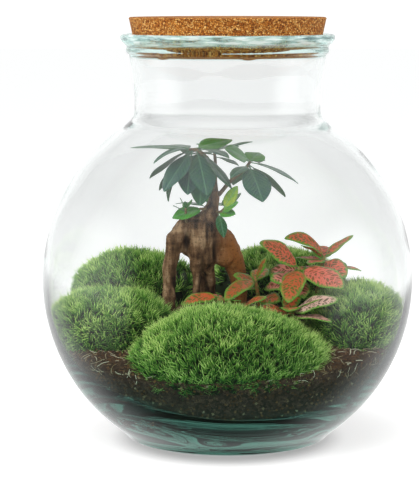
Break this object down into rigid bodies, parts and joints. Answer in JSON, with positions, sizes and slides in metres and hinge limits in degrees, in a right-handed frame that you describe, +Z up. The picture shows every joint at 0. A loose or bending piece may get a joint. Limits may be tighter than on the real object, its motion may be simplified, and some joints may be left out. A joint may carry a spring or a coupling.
{
  "type": "glass plant terrarium",
  "caption": "Round glass bottle garden with a rolled rim and a cork lid, planted with a small root-legged fig, a red-veined nerve plant and moss cushions on dark soil.",
  "frame": {"origin": "middle of the foot, on the surface that the vessel stands on", "axes": "+Z is up through the neck and lid, -Y is the front that the picture shows, +X is to the right seen from the front"},
  "size_m": [0.2398, 0.2398, 0.2723],
  "materials": {
    "glass": "recycled bottle glass, clear with a blue-green tint, thick at the base, smooth with faint waves",
    "cork": "pressed granulated cork, dry, with darker and lighter grains",
    "soil": "dark damp potting soil of peat and bark crumbs",
    "moss": "living cushion moss, dense fine needles, soft and matt",
    "bark": "grey-brown fig bark, smooth with fine rings and pores",
    "fig_leaf": "leathery waxy dark green leaves with a paler midrib, on woody twigs",
    "nerve_leaf": "soft matt leaves, red and pink net veins, green margins"
  },
  "bodies": {
    "root": {"glass_vessel": "glass", "cork_lid": "cork", "soil": "soil", "moss_front": "moss", "moss_left": "moss", "moss_right": "moss", "moss_back_left": "moss", "moss_back_right": "moss", "ficus_trunk": "bark", "ficus_spray_left": "fig_leaf", "ficus_spray_top": "fig_leaf", "ficus_spray_right": "fig_leaf", "ficus_sprig_low_right": "fig_leaf", "ficus_sprig_low_left": "fig_leaf", "ficus_sprig_back": "fig_leaf", "fittonia_stem_right": "nerve_leaf", "fittonia_stem_centre": "nerve_leaf", "fittonia_stem_front": "nerve_leaf", "fittonia_stem_left": "nerve_leaf", "fittonia_creeper": "nerve_leaf"}
  },
  "joints": []
}
